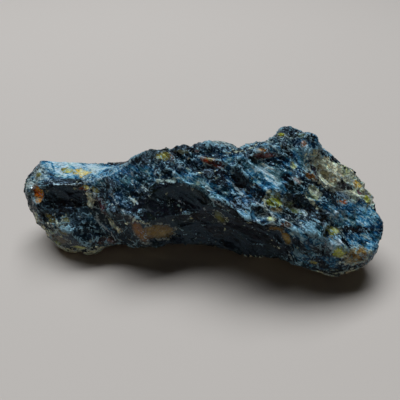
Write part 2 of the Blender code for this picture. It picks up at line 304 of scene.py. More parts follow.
def chips(places, size, seed):
    """Flat chips: each place takes the tilted plane of the nearest of the scattered seeds."""
    scaled = places / size
    cells = np.floor(scaled)
    nearest = np.full(places.shape[:-1], np.inf)
    height = np.zeros(places.shape[:-1])
    for step in np.ndindex(3, 3, 3):
        near = cells + step - 1
        jitter = [cell_values(near, seed + i) for i in range(3)]
        tilt = [cell_values(near, seed + i) for i in range(3, 6)]
        away = scaled - near - CELL_MARGIN - (1 - 2 * CELL_MARGIN) * np.stack(jitter, axis=-1)
        distance = np.linalg.norm(away, axis=-1)
        plane = ((2 * np.stack(tilt, axis=-1) - 1) * away).sum(axis=-1)
        height = np.where(distance < nearest, plane, height)
        nearest = np.minimum(nearest, distance)
    return height


def ledges(places, depth, height, spacing, rise, evenness, unevenness, patch, seed):
    """A slow rise and a sharp drop, over and over, through the layers.

    Each climbs over the `rise` share of its spacing, from -0.5 to 0.5, times the height and
    an evenness that a cloud of the patch's size sways.
    """
    turn = (depth / spacing) % 1
    saw = np.minimum(turn / rise, (1 - turn) / (1 - rise)) - 0.5
    return height * saw * (evenness + unevenness * cloud(places, patch, seed))


def skin_normals(points):
    """Unit normals of a grid closed around its second direction: one way crossed with the other."""
    along_way = np.gradient(points, axis=0)
    around_way = np.roll(points, -1, axis=1) - np.roll(points, 1, axis=1)
    normals = np.cross(around_way, along_way)
    return normals / (np.linalg.norm(normals, axis=-1, keepdims=True) + TINY)


def liveliness(places):
    """0 in the middle of the smooth faces and 1 outside them, by distance over their reach."""
    inside = [np.linalg.norm((places - np.array(middle)) / reach_each_way, axis=-1)
              for middle, reach_each_way in CALM_PLACES]
    return eased(*CALM_EDGE, np.min(inside, axis=0))


def relief(places, facing):
    """How far the skin stands out in mm: the layers' ledges and steps, swellings and chips."""
    depth = clouds(places, LAYER_BENDS, places @ LAYER_STACK)
    stepped = ledges(places, depth, **LEDGES) + ledges(places, depth, **STEPS)
    layered = eased(*LAYERS_ALONG, places[..., 0]) * eased(*LAYERS_FACING, facing[..., 2])
    chipped = sum(tilt * chips(places, size, seed) for tilt, size, seed in FLAT_CHIPS)
    drawn_out = places - (places @ FLOW_WAY)[..., None] * FLOW_WAY * (1 - 1 / BLADE_LENGTH)
    for tilt, more_tilt, size, seed in BLADES:
        chipped = chipped + (tilt + more_tilt * layered) * chips(drawn_out, size, seed)
    lively = liveliness(places)
    tilt, size, seed = CALM_PLATES
    plates = (1 - lively) * tilt * chips(drawn_out, size, seed)
    strength = CALM_SHARE + (1 - CALM_SHARE) * lively
    return strength * (stepped * layered + clouds(places, SWELLS) + chipped) + plates


facing = skin_normals(broken)
places = broken + facing * relief(broken, facing)[..., None]
places[..., 2] = np.maximum(places[..., 2], 0)
facing = skin_normals(places)

# ---- The skin as a mesh ---------------------------------------------------------------------
# Rings of the skin joined by four-sided faces, and a fan at each end. The lump is then set
# on the table with the middle of its box where the solid model's is.

LEFT_FAN = RINGS * SPOKES
RIGHT_FAN = LEFT_FAN + 1

node_low, node_high = (np.array(corner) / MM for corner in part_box("raw_amber"))
lump_middle = (places.min(axis=(0, 1)) + places.max(axis=(0, 1))) / 2 - (node_low + node_high) / 2
lump_middle[2] = -node_low[2]


def closed_skin_mesh(name, points, left_pole, right_pole):
    """Grid faces around the rings, with the two poles fanned to the first and last ring."""
    ring, spoke = np.meshgrid(np.arange(RINGS - 1), np.arange(SPOKES), indexing="ij")
    here = ring * SPOKES + spoke
    beside = ring * SPOKES + (spoke + 1) % SPOKES
    walls = np.stack([here, beside, beside + SPOKES, here + SPOKES], axis=-1).reshape(-1, 4)
    first = np.arange(SPOKES)
    after = (first + 1) % SPOKES
    last = (RINGS - 1) * SPOKES
    left_caps = np.stack([np.full(SPOKES, LEFT_FAN), after, first], axis=-1)
    right_caps = np.stack([np.full(SPOKES, RIGHT_FAN), last + first, last + after], axis=-1)
    vertices = np.concatenate([points.reshape(-1, 3), left_pole[None], right_pole[None]])
    mesh = bpy.data.meshes.new(name)
    faces = walls.tolist() + left_caps.tolist() + right_caps.tolist()
    mesh.from_pydata((vertices * MM).tolist(), [], faces)
    mesh.update()
    return mesh


placed = places - lump_middle
skin_mesh = closed_skin_mesh("amber_skin", placed, placed[0].mean(axis=0), placed[-1].mean(axis=0))
amber = bpy.data.objects.new("amber_skin", skin_mesh)
bpy.context.scene.collection.objects.link(amber)
skin_mesh.shade_smooth()

# ---- Where each finish lies ------------------------------------------------------------------
# Marks laid on the skin, each a spindle between two ends with a half width in mm.
# Windows are clear spots of younger resin, each of its own colour, painted bright where light
# shines through them. Frost is partly the dusty bloom of faces open to the light and partly
# painted light: the blue glow and window reflection of the lit upper faces. Grey is where it
# is less blue, and crust is the weathered rind; near the table grey also paints the dimmer
# light, and crust on faces turned down paints their pale lit rim.

MARKS = {
    # Their colours are the resin's own, made bright enough to paint the light shining through them,
    # even in the shaded pit.
    "window": {  # two ends, half width, colour
        "pit_floor": ((-52, -0.2, 23), (-51, -0.6, 24.5), 2.2, (0.95, 0.36, 0.02)),
        "pit_lip": ((-53, -0.5, 22), (-50, -4.5, 22.5), 0.9, (0.80, 0.48, 0.18)),
        "rim_olive": ((-53, 5.5, 27), (-51, 4, 27.5), 0.8, (0.40, 0.38, 0.14)),
        "top_left": ((-44.5, 7.5, 28), (-41, 7, 27.5), 1.6, (0.46, 0.40, 0.06)),
        "top_right": ((-40.5, 7, 27.5), (-34, 3.5, 29), 2.0, (0.78, 0.60, 0.20)),
        "top_point": ((-37, 5.5, 29), (-36.5, 1.8, 29), 1.5, (0.74, 0.55, 0.19)),
        "under_yellow": ((-35.5, -2.5, 27.5), (-32.5, -4.5, 28), 0.8, (0.52, 0.44, 0.12)),
        "under_red": ((-37, -1.5, 26), (-33, -4, 27.5), 0.8, (0.26, 0.07, 0.04)),
        "under_olive": ((-32.5, -4.5, 28), (-29.5, -5.5, 27.5), 1.0, (0.24, 0.22, 0.07)),
        "maroon": ((-30, -6.5, 25.5), (-27, -10, 21.5), 1.9, (0.11, 0.03, 0.04)),
        "groove_left": ((-48.5, -5, 17.5), (-46, -7, 16), 1.1, (0.28, 0.24, 0.06)),
        "groove_right": ((-43, -6.5, 18), (-40.5, -8, 17), 1.0, (0.26, 0.24, 0.07)),
        "lobe_brown": ((-48.5, -6.5, 9), (-42.5, -10, 9), 1.8, (0.10, 0.07, 0.03)),
        "lobe_olive": ((-44, -7.5, 14), (-40, -9, 13.5), 1.3, (0.16, 0.15, 0.05)),
        "lobe_lime": ((-48, -6.5, 7), (-45.5, -8.5, 7), 0.9, (0.34, 0.38, 0.12)),
        "lobe_foot": ((-40.5, -9.5, 7), (-35.5, -10.5, 7.5), 0.8, (0.40, 0.42, 0.14)),
        "chin_brown": ((-33, -10.5, 10), (-23.5, -11.5, 11.5), 1.5, (0.07, 0.03, 0.02)),
        "ridge_olive": ((-10, -3, 39), (-6, -3, 40), 1.4, (0.42, 0.36, 0.05)),
        "ridge_brown": ((-6, -2.5, 40.5), (-5, -4.5, 38.5), 1.0, (0.10, 0.035, 0.025)),
        "ridge_grey": ((-4.5, -2, 40.5), (0.5, -3.5, 41), 0.8, (0.26, 0.26, 0.16)),
        "ridge_red": ((1, -2.5, 41), (3, -2.5, 41), 0.7, (0.20, 0.07, 0.045)),
        "crest_orange": ((3.5, -5, 40), (6, -6.5, 39.5), 1.0, (0.42, 0.11, 0.03)),
        "crest_yellow": ((5.5, -5.5, 40), (7.5, -7, 40.5), 0.9, (0.85, 0.58, 0.12)),
        "crest_red": ((6, -6.5, 39.5), (10.5, -8.5, 39), 1.1, (0.14, 0.045, 0.03)),
        "slope_rust": ((19.5, -6, 43), (24, -5.5, 42.5), 0.9, (0.34, 0.16, 0.04)),
        "slope_red": ((19.5, -6.5, 41.5), (26.5, -5.5, 41), 1.0, (0.15, 0.045, 0.04)),
        "peak_olive": ((28, 3, 44.5), (30, 2.5, 44.5), 1.0, (0.48, 0.46, 0.08)),
        "knob_green": ((34.5, 2, 45), (36, 1, 44), 1.2, (0.16, 0.20, 0.14)),
        "knob_orange": ((35.5, 0, 43), (36.5, -1.5, 41.5), 1.0, (0.42, 0.22, 0.12)),
        "pale_spot": ((32, -6.5, 39.5), (33, -8, 38), 1.2, (0.66, 0.70, 0.42)),
        "crust_rust": ((36.5, -8, 37), (40, -7.5, 34), 1.3, (0.40, 0.22, 0.04)),
        "crust_purple": ((38.5, -4.5, 37.5), (42.5, -7, 32), 1.1, (0.07, 0.04, 0.07)),
        "crust_cream": ((42, -3.5, 36), (47, -3, 32), 2.2, (0.44, 0.40, 0.26)),
        "lime_halo": ((38, -11, 33), (40.5, -12, 30), 2.0, (0.60, 0.66, 0.46)),
        "lime_heart": ((39, -11.5, 32), (40.5, -12, 30.5), 1.1, (0.62, 0.58, 0.08)),
        "crust_hollow": ((48.5, -4.5, 30), (53.5, -1.5, 26), 1.5, (0.045, 0.03, 0.025)),
        "crust_orange": ((46, -11, 28), (50.5, -8, 25), 0.9, (0.58, 0.24, 0.06)),
        "crust_amber": ((55, 0, 28), (57.5, -1, 26), 1.2, (0.58, 0.36, 0.06)),
        "crust_wine": ((56, -1.5, 25), (57.5, -3, 23.5), 1.0, (0.16, 0.06, 0.09)),
        "crust_lime": ((57, -3, 23.5), (59.5, -3.5, 21), 1.7, (0.58, 0.58, 0.10)),
        "slate": ((47, -7, 28.5), (52, -5.5, 25), 1.3, (0.14, 0.20, 0.25)),
        "band_brown": ((32, -10.5, 36), (34.5, -11, 35), 1.3, (0.22, 0.17, 0.15)),
        "slope_olive": ((23.5, -16, 31.5), (27.5, -16.5, 30.5), 1.7, (0.23, 0.24, 0.010)),
        "slope_dark": ((23.5, -15, 33.5), (27.5, -14.5, 32.5), 1.2, (0.10, 0.12, 0.06)),
        "slope_halo": ((28.5, -15.5, 31), (35, -16, 27), 1.2, (0.22, 0.26, 0.13)),
        "slope_pink": ((24, -17.5, 29.5), (28, -18, 29.5), 0.8, (0.28, 0.21, 0.11)),
        "lip_lime": ((23, -20, 28), (26, -20.5, 28), 0.8, (0.74, 0.78, 0.34)),
        "notch_high": ((26.5, -21.5, 26.5), (30, -21, 24), 1.5, (0.16, 0.055, 0.02)),
        "notch_low": ((29.3, -17.5, 20.5), (31, -19, 17), 1.3, (0.32, 0.20, 0.025)),
        "notch_left": ((25, -17, 22), (29, -17.5, 22), 1.5, (0.13, 0.075, 0.02)),
        "block_olive": ((41.5, -20.5, 24.5), (46, -17.5, 21), 1.8, (0.32, 0.32, 0.08)),
        "foot_lime": ((44.5, -24, 19.5), (47, -23, 15.5), 2.1, (0.54, 0.58, 0.13)),
        "foot_orange": ((49, -23, 17), (55, -21, 14.5), 2.2, (0.36, 0.24, 0.075)),
        "foot_khaki": ((48.5, -23, 14), (53.5, -22, 12), 1.7, (0.34, 0.27, 0.10)),
        "foot_olive": ((37.5, -23, 13.5), (40.5, -22.5, 11.5), 0.9, (0.30, 0.28, 0.08)),
        "tan_left": ((-17, -15.5, 22.5), (-14.5, -14.5, 15), 2.6, (0.22, 0.09, 0.006)),
        "tan_right": ((-15.5, -15.5, 19.5), (-5.5, -12.5, 16), 2.9, (0.25, 0.16, 0.035)),
        "back_amber": ((-22, 18, 20), (-15, 18, 17), 2.0, (0.36, 0.18, 0.03)),
        "back_olive": ((18, 16, 25), (25, 15, 22), 1.9, (0.30, 0.28, 0.05)),
        "back_red": ((3, 16, 31), (9, 15, 30), 1.4, (0.14, 0.045, 0.03)),
        "back_lime": ((44, 9, 22), (48, 7, 20), 1.6, (0.46, 0.46, 0.12)),
        "back_brown": ((-46, 20, 18), (-40, 20, 16), 1.8, (0.16, 0.08, 0.03)),
        "hollow_olive": ((8.5, -13, 25), (11, -11.5, 20), 1.5, (0.10, 0.10, 0.025)),
    },
    # These marks are partly dusty bloom and partly painted light: the blue glow and window reflection
    # of the lit upper faces. knob_glint and terrace are painted highlights.
    "frost_and_glow": {  # two ends, half width, strength
        "left_top": ((-52, 12, 27), (-22, 7, 32), 9, 1.42),
        "left_end": ((-58, 3, 24), (-48, 6, 28), 6, 0.95),
        "neck_top": ((-34, 0, 30), (-20, 0, 35), 5, 0.85),
        "shoulder": ((-24, -5, 32), (-8, -6, 36), 5, 0.60),
        "teal_facet": ((-25, -8, 28), (-17, -12, 27), 3.5, 0.42),
        "bright_cluster": ((-5.5, -7.5, 35.5), (2, -11, 34.5), 3.5, 0.85),
        "band_middle": ((2, -11, 34.5), (16, -14, 32), 4, 0.62),
        "band_bright": ((14, -13, 32.5), (22, -16, 31), 2.5, 0.80),
        "band_patch": ((4.5, -15.5, 33), (8, -16.5, 31.5), 1.6, 1.1),
        "cleft_side": ((12, -9, 37), (13, -12, 33), 2.2, 0.75),
        "slope_left": ((11, -8, 39), (18, -8, 38), 3.5, 0.72),
        "slope_middle": ((17, -10, 36.5), (29, -11, 36), 4.5, 1.15),
        "slope_low": ((22, -13, 34), (29, -13, 33), 2.2, 1.1),
        "peak_face": ((24, -3, 43), (36, -7, 38), 6, 0.68),
        "knob": ((36, 1, 44), (40, 2, 42), 4, 0.74),
        "knob_glint": ((39, 1, 42.5), (40.5, 1, 41.5), 1.6, 1.0),
        "block_top": ((44, -14, 25), (62, -8, 19), 5.5, 1.0),
        "block_front": ((50, -19, 17), (62, -16, 14), 5, 0.88),
        "shelf": ((30, -14, 33), (44, -14, 28), 4, 0.62),
        "foot_left": ((31, -20, 22), (41, -22, 18), 5, 0.92),
        "foot_low": ((33, -21, 15), (48, -23, 11), 4.5, 0.78),
        "lip": ((14, -19, 29), (34, -20, 27), 2, 0.66),
        "block_blue": ((42.5, -14.5, 29), (52, -13, 20.5), 2.5, 1.1),
        "terrace": ((42, -22, 20.8), (45.5, -22, 20.8), 2.0, 1.3),
        "band_streak": ((1, -10, 35.5), (14, -15.5, 31.5), 1.8, 0.9),
        "foot_blue": ((34, -23, 17), (37.5, -23, 13.5), 1.8, 0.7),
        "lobe": ((-42, -9, 12), (-30, -10, 10), 4, 0.26),
        "neck_front": ((-34, -7, 20), (-26, -10, 15), 3.5, 0.38),
        "upper_middle": ((-16, -2, 38), (14, -5, 41), 3.5, 0.34),
        "bump": ((2, 8, 37), (18, 7, 38), 5, 1.05),
        "back_top": ((-30, 11, 31), (4, 13, 33), 6, 0.5),
        "back_right": ((28, 10, 41), (50, 7, 32), 6, 0.5),
        "back_low": ((-40, 18, 12), (30, 14, 14), 8, 0.3),
        "back_high": ((8, 15, 37), (28, 12, 39), 4, 0.6),
        "back_spot": ((-14, 18, 25), (-4, 18, 22), 4, 0.55),
    },
    "grey": {
        "left_end": ((-58, 3, 24), (-50, 6, 27), 6, 1.0),
        "top_middle": ((-47, 9, 28), (-32, 5, 29), 3, 0.3),
        "neck_rubble": ((-34, -6, 25), (-28, -9, 18), 4, 1.0),
        "rib": ((-16, -8, 31), (-10, -13, 24), 3, 0.8),
        "bump": ((2, 8, 37), (18, 7, 38), 6, 1.0),
        "peak": ((22, -1, 43.5), (34, 0, 43), 5, 0.7),
        "lip": ((20, -19, 29), (34, -20, 28), 3, 0.8),
        "lobe": ((-50, -6, 13), (-36, -9, 12), 5, 0.35),
        "right_top": ((42, -3, 35), (58, -1, 25), 7, 0.9),
        "back": ((-20, 18, 18), (40, 12, 20), 14, 0.8),
    },
    "shade": {  # faces painted dark: little dust, and painted shade in gaps, clefts and under the arch
        "neck_gap": ((-27, -5, 31.5), (-24, -7.5, 30), 1.5, 0.35),
        "neck_violet": ((-17, -2.5, 37.5), (-11.5, -2.5, 39), 2.2, 0.4),
        "facet_dark": ((-24.2, -12.6, 26.2), (-21.5, -13.5, 25), 1.8, 0.7),
        "facet_foot": ((-20.5, -14, 25), (-17, -15, 21.5), 2.0, 0.35),
        "band_violet": ((5, -8.5, 37.5), (12, -12.5, 35), 2.2, 0.5),
        "cleft_dark": ((14, -9.5, 37.5), (17.5, -13, 33), 1.8, 0.8),
        "slope_shadow": ((17.5, -12, 36.5), (22, -13, 34.5), 1.8, 0.6),
        "slope_gap": ((19, -14.5, 32), (23, -16, 31.5), 1.8, 0.5),
        "ellipse": ((28, -10, 35.5), (31, -12, 34), 1.4, 0.5),
        "navy_facet": ((29.5, -15, 32.5), (35, -14, 30), 1.6, 0.6),
        "diagonal_gap": ((34, -14, 28), (37, -17, 25), 2.2, 0.6),
        "right_gap": ((38.5, -15.5, 29), (41, -19.5, 26), 2.2, 0.5),
        "block_gap": ((40, -22.5, 23.5), (43.5, -22, 21.5), 1.5, 0.6),
        "foot_dark": ((33, -20, 19.5), (35.5, -23, 18), 2.2, 0.5),
        "foot_violet": ((37, -23.5, 19.5), (43.5, -23.5, 17), 1.8, 0.5),
        "foot_shadow": ((38, -23, 14), (44.5, -22.5, 10), 1.8, 0.4),
        "block_dark": ((48, -16.5, 21.5), (59.5, -12.5, 16.5), 1.2, 0.5),
        "block_low": ((50, -18.5, 18), (57, -17, 15), 1.0, 0.5),
        "peak_dark": ((29, -2.5, 44), (32, -5.5, 40.5), 2.0, 0.38),
        "knob_dark": ((36, 1.5, 45), (39.5, 0, 43), 1.4, 0.4),
        "slope_violet": ((19, -7, 41), (22.5, -7.5, 40), 1.5, 0.4),
        "groove": ((-50, -5, 19.5), (-39.5, -4.5, 18.5), 1.2, 0.5),
        "left_cliff": ((-46, -3, 25), (-35, -3, 25), 4.5, 1.6),
        "hollow_top": ((-11, -9.5, 31), (-1, -10.5, 32), 2.2, 1.2),
        "arch_left": ((-17, -15.5, 14), (5, -12, 9.5), 2.5, 0.9),
        "arch_right": ((5, -12, 9.5), (28, -17, 7.5), 2.5, 0.9),
        "ridge_top": ((-14, 0, 39.5), (4, 0, 42), 2.5, 0.8),
        "back_gap": ((20, 15, 31), (42, 9, 28), 4.5, 0.6),
        "back_dark": ((-32, 19, 20), (-16, 18, 26), 4, 0.6),
        "peak_top": ((26, 3, 45), (36, 4, 45), 2.5, 0.5),
        "crust_gap": ((44, -7, 31), (46.5, -7, 28.5), 1.4, 0.6),
    },
    "crust": {
        "right_top": ((39, -3, 37), (57, -2, 26), 5.5, 1.0),
        "right_edge": ((56, 0, 27), (61, -2, 20), 4, 0.9),
        "knob_side": ((38, -3, 40), (42, -2, 37), 3, 0.6),
        "lobe_front": ((-50, -6, 14), (-42, -7, 12), 4, 0.35),
        "neck_front": ((-33.2, -4.8, 26), (-33.2, -5, 21.5), 1.8, 0.85),
        "chin_rubble": ((-26, -10, 18.5), (-22.5, -12.8, 17), 1.8, 0.95),
        "under_cheek": ((-56, -2, 15), (-50, -5, 8), 4, 0.5),
        "foot_end": ((48, -22, 15), (56, -20, 12), 3.5, 0.7),
        "back_left": ((-56, 16, 8), (-34, 20, 12), 6, 0.45),
        "back_middle": ((-14, 17, 12), (22, 16, 22), 5, 0.4),
        "back_right": ((38, 10, 24), (58, 4, 8), 5, 0.45),
    },
    "fresh": {  # the youngest breaks, black and glossy
        "hollow": ((-15, -14, 24), (32, -18, 18), 11, 1.0),
        "hollow_top": ((-11, -9.5, 31), (-1, -10.5, 32), 3.0, 1.0),
        "left_hollow": ((-46, -3, 25), (-37, -3, 25), 4, 0.9),
        "cleft": ((14.5, -9, 38), (18, -14, 32), 2.2, 0.9),
        "gap": ((17, -12, 36), (27, -13, 34.5), 1.3, 0.9),
        "dark_band": ((4, -6.5, 38.5), (12, -9, 36), 2, 0.7),
        "pocket": ((30, -14, 29), (38, -15, 28), 3, 0.9),
        "teal_ellipse": ((28, -10, 36), (32, -11, 34), 1.8, 0.7),
        "lobe_under": ((-46, -8, 9), (-34, -10, 9), 3, 0.5),
        "back_face": ((-10, 18, 12), (14, 17, 14), 6, 0.8),
    },
}

ICE = (0.60, 0.76, 0.80)
SILVER = (0.50, 0.58, 0.58)
MINT = (0.62, 0.74, 0.62)
CREAM = (0.70, 0.70, 0.46)
ASH = (0.34, 0.40, 0.42)
# The white of the painted highlights: the gleam and the lip glints.
PAINTED_GLINT_WHITE = (0.85, 0.95, 1.0)
PALE_LINES = {  # half width, colour, and the points that each pale line runs through
    "ridge": (0.5, ICE, (-52, 6, 28), (-48.5, 2.5, 27.5), (-44.5, -2, 28)),
    "left_rim": (0.7, ICE, (-44, -1.5, 28), (-38.5, -2, 28), (-32, -3, 30), (-28.5, -3.5, 31.5)),
    "neck_rim": (0.7, ICE, (-28.5, -3.5, 31.5), (-24, -3, 34), (-18.5, -2, 37)),
    "pit_rim": (0.5, ICE, (-52.5, 0.5, 25.5), (-54, 0.5, 22), (-53, -2, 21), (-49.5, -5, 23),
                (-48, -3.5, 23.5)),
    "block_rim": (0.5, SILVER, (-34.5, -4.5, 26), (-32.5, -4.5, 27.5), (-31, -5.5, 26),
                  (-31.5, -7, 23.5), (-34.5, -6, 22), (-35.5, -3.5, 24.5)),
    "maroon_line": (0.45, SILVER, (-31.5, -6, 25.5), (-30, -8, 21.5)),
    "facet_edge": (0.38, SILVER, (-25, -8, 28), (-21.5, -12.5, 27), (-19.5, -14, 24.5),
                   (-16.5, -15.5, 24.5)),
    "chin": (0.6, SILVER, (-31.5, -8, 21), (-30, -8, 16), (-27, -10, 14.5), (-25, -11.5, 12)),
    "facet_streak": (0.3, ICE, (-20.5, -9.5, 29.5), (-18, -10, 28), (-16, -11.5, 27)),
    "rib": (0.35, SILVER, (-18, -3.5, 35), (-18, -6, 32.5), (-16.5, -9, 29.5)),
    "mint": (1.0, MINT, (-9.5, -8, 33.5), (-4.5, -8.5, 34)),
    "mint_arc": (0.5, ICE, (-6, -8.5, 33.5), (-4.5, -7, 36), (-2.5, -6, 37.5)),
    "stroke": (0.5, ICE, (-11, -6, 34), (-9.5, -4.5, 36.5)),
    "hollow_edge": (0.6, SILVER, (-3.5, -10.5, 32.5), (0, -12, 33.5), (3.5, -14.5, 33),
                    (4.5, -16, 32), (7.5, -16, 31.5), (10.5, -14.5, 28.5)),
    "hollow_line": (0.35, ASH, (-3.5, -10, 27), (0.5, -12, 26.5), (4, -13.5, 27.5), (6.5, -12, 23)),
    "hollow_tick": (0.35, ASH, (-2, -11.5, 18.5), (0.5, -11.5, 22)),
    "hollow_arc": (0.35, ASH, (-5, -9.5, 29.5), (-6, -10.5, 27), (-6.5, -11, 25)),
    "cleft_edge": (0.6, ICE, (13, -11, 35), (15, -12, 32.5), (16.5, -14, 32)),
    "far_edge": (0.5, CREAM, (11.5, -5.5, 41.5), (15, -4.5, 42), (18, -4, 42), (21, -2.5, 43)),
    "lip_arc": (0.45, SILVER, (20.5, -17, 31.5), (23, -17.5, 30), (24.5, -18.5, 29), (25, -20.5, 28)),
    "olive_rim": (0.5, CREAM, (25, -13.5, 33.5), (23, -15, 33.5), (22.5, -15.5, 31.5), (23, -18, 30)),
    "right_arc": (0.45, SILVER, (28.5, -15.5, 31), (32.5, -15, 28), (35, -16, 27),
                  (35, -18.5, 26.5), (33.5, -21.5, 26.5)),
    "lip_cream": (0.8, CREAM, (35.5, -13, 31.5), (38, -15, 29.5), (40, -15.5, 28)),
    "lip_blue": (0.5, ICE, (40, -15.5, 28), (43, -16, 26.5), (45.5, -15, 24.5)),
    "crust_rim": (0.6, CREAM, (42, -1, 37.5), (45.5, 1, 35.5), (48.5, 1, 33), (50.5, 0, 31)),
    "crust_arc": (0.45, SILVER, (48, -5, 29), (50, -1, 29.5), (52, 0.5, 29.5), (55, 0, 28)),
    # gleam and the lip glints below are painted highlights of the window on upturned facets.
    "gleam": (1.4, PAINTED_GLINT_WHITE, (42, -22.5, 20.8), (45.5, -22.5, 20.8)),
    "notch_side": (0.45, SILVER, (30, -21.5, 26.5), (32, -19.5, 21.5), (32.5, -20, 19.5)),
    "foot_line": (0.45, SILVER, (32, -20, 17), (32, -19, 12), (33, -20.5, 10.5)),
    "tan_rim": (0.45, CREAM, (-18, -14.8, 22.5), (-17.1, -15.4, 23.7), (-15, -15.8, 23.5),
                (-12.4, -15.1, 21.5)),
    "lip_glint": (0.5, PAINTED_GLINT_WHITE, (27.5, -20.5, 28), (29.5, -19, 27.5)),
    "lip_glint_left": (0.5, PAINTED_GLINT_WHITE, (20, -21, 28), (21, -20.5, 27.5)),
}
DEPTH_COUNT = 0.2
TINT_SHARPNESS = 6
MARK_EDGE = (-0.35, 0.5)  # nearness at which a mark begins, and at which it is full
PAINTED_UNDERSIDE_TOP = (9, 6)  # mm above the table, between which the painted light of the underside begins
PAINTED_UNDERSIDE_FACING = (0.1, 0.45)
FROST_AND_GLOW_CHIPPED = (0.5, 0.9)  # a smooth face is chipped again where this much frost and painted glow lies on it
EDGE_REACH = 4  # rounds of averaging: what they would take down is an edge


def gap_sideways(away):
    """How far off a place is, with its distance along the skin's normal counting for less."""
    into = (away * facing).sum(axis=-1)
    return np.sqrt((away * away).sum(axis=-1) - (1 - DEPTH_COUNT) * into * into)


def nearness(first_end, other_end, half_width):
    """1 at the spindle's middle, 0 on its skin, falling on at the same rate outside to -1."""
    first_end, other_end = np.array(first_end, float), np.array(other_end, float)
    way = unit(other_end - first_end)
    half_length = np.linalg.norm(other_end - first_end) / 2 + half_width / 2
    away = places - (first_end + other_end) / 2
    forward = away @ way
    sideways = gap_sideways(away - forward[..., None] * way)
    return np.maximum(1 - np.hypot(forward / half_length, sideways / half_width), -1)


def line_nearness(half_width, points):
    """1 on the line through the points, 0 at its half width, and on down to -1."""
    nearest = np.full(places.shape[:-1], -1.0)
    for start, end in zip(np.array(points[:-1], float), np.array(points[1:], float)):
        step = end - start
        share = np.clip((places - start) @ step / (step @ step), 0, 1)
        gap = gap_sideways(places - start - share[..., None] * step)
        nearest = np.maximum(nearest, 1 - gap / half_width)
    return nearest


def mixed_colour(amounts, colours):
    """The colour of whichever mark is nearest, blended where two are about as near."""
    weights = np.exp(TINT_SHARPNESS * amounts)[..., None]
    tint = (weights * np.array(colours)[:, None, None, :]).sum(axis=0) / weights.sum(axis=0)
    return np.concatenate([tint, np.ones_like(tint[..., :1])], axis=-1)


def blurred(values, passes):
    """The values averaged with their four neighbours on the grid, a number of times."""
    for _ in range(passes):
        padded = np.concatenate([values[:1], values, values[-1:]])
        sides = np.roll(values, 1, axis=1) + np.roll(values, -1, axis=1)
        values = (padded[:-2] + padded[2:] + sides) / 4
    return values


def store(name, values):
    """Keep one number or colour for each place of the skin, each pole taking its ring's mean."""
    flat = values.reshape(RINGS * SPOKES, -1)
    ends = np.stack([flat[:SPOKES].mean(axis=0), flat[-SPOKES:].mean(axis=0)])
    kind, key = ("FLOAT", "value") if flat.shape[1] == 1 else ("FLOAT_COLOR", "color")
    attribute = skin_mesh.attributes.new(name, kind, "POINT")
    attribute.data.foreach_set(key, np.concatenate([flat, ends]).ravel())


lively = liveliness(places)
for finish, spots in MARKS.items():
    amounts = np.stack([nearness(*spot[:3]) for spot in spots.values()])
    last_values = [spot[3] for spot in spots.values()]
    if finish == "window":
        store("window", amounts.max(axis=0))
        store("window_tint", mixed_colour(amounts, last_values))
    else:
        shares = eased(*MARK_EDGE, amounts) * np.array(last_values)[:, None, None]
        # Near the table the skin is painted greyer for the dimmer light there, and faces turned down
        # take a pale crust that paints the light on the lower rim.
        low = eased(*PAINTED_UNDERSIDE_TOP, places[..., 2])
        facing_down = eased(*PAINTED_UNDERSIDE_FACING, -facing[..., 2])
        under = {"crust": low * facing_down, "grey": low}.get(finish, 0)
        share = np.maximum(shares.max(axis=0), under)
        store(finish, share)
        if finish == "frost_and_glow":
            lively = np.maximum(lively, eased(*FROST_AND_GLOW_CHIPPED, share))

amounts = np.stack([line_nearness(line[0], line[2:]) for line in PALE_LINES.values()])
store("line", amounts.max(axis=0))
store("line_tint", mixed_colour(amounts, [line[1] for line in PALE_LINES.values()]))
store("lively", lively)
store("edge", ((places - blurred(places, EDGE_REACH)) * facing).sum(axis=-1))

# ---- The amber itself ------------------------------------------------------------------------
# Dark fossil resin: clear inside but so deeply coloured that only thin or young spots show
# light through. Weathered faces carry a blue dusty bloom, in part painted light, the blue glow
# and window reflection of lit faces. Fresh ones are black and glossy, and broken edges are
# crushed to white.

BLOOM_AND_GLOW = (  # amount of dust and painted glow, and how it then looks where it is blue, grey and teal
    (0.00, (0.0010, 0.0020, 0.004), (0.002, 0.003, 0.003), (0.001, 0.003, 0.003)),
    (0.20, (0.0015, 0.006, 0.015), (0.005, 0.008, 0.009), (0.003, 0.009, 0.011)),
    (0.38, (0.002, 0.020, 0.055), (0.014, 0.026, 0.029), (0.008, 0.030, 0.037)),
    (0.55, (0.004, 0.068, 0.160), (0.050, 0.080, 0.086), (0.022, 0.095, 0.112)),
    (0.70, (0.018, 0.175, 0.335), (0.140, 0.200, 0.200), (0.080, 0.235, 0.255)),
    (0.82, (0.080, 0.350, 0.550), (0.320, 0.410, 0.390), (0.230, 0.450, 0.450)),
    (0.92, (0.290, 0.590, 0.750), (0.600, 0.670, 0.620), (0.520, 0.700, 0.650)),
    (1.00, (0.740, 0.890, 0.940), (0.860, 0.900, 0.840), (0.840, 0.930, 0.850)),
)
FRESH_RESIN = (  # place on the scale of a slow noise, and colour
    (0.30, (0.016, 0.010, 0.007)),
    (0.42, (0.006, 0.007, 0.008)),
    (0.50, (0.014, 0.012, 0.023)),
    (0.58, (0.005, 0.009, 0.012)),
    (0.68, (0.012, 0.014, 0.008)),
)
RIND = (  # the same for each grain's own random shade
    (0.00, (0.035, 0.026, 0.020)),
    (0.14, (0.140, 0.140, 0.055)),
    (0.28, (0.185, 0.200, 0.110)),
    (0.42, (0.240, 0.240, 0.200)),
    (0.55, (0.060, 0.105, 0.130)),
    (0.66, (0.110, 0.205, 0.210)),
    (0.78, (0.225, 0.130, 0.045)),
    (0.88, (0.420, 0.430, 0.300)),
    (1.00, (0.540, 0.560, 0.420)),
)
CRUSHED_BLUE = (0.42, 0.70, 0.80)
CRUSHED_GREY = (0.64, 0.72, 0.64)
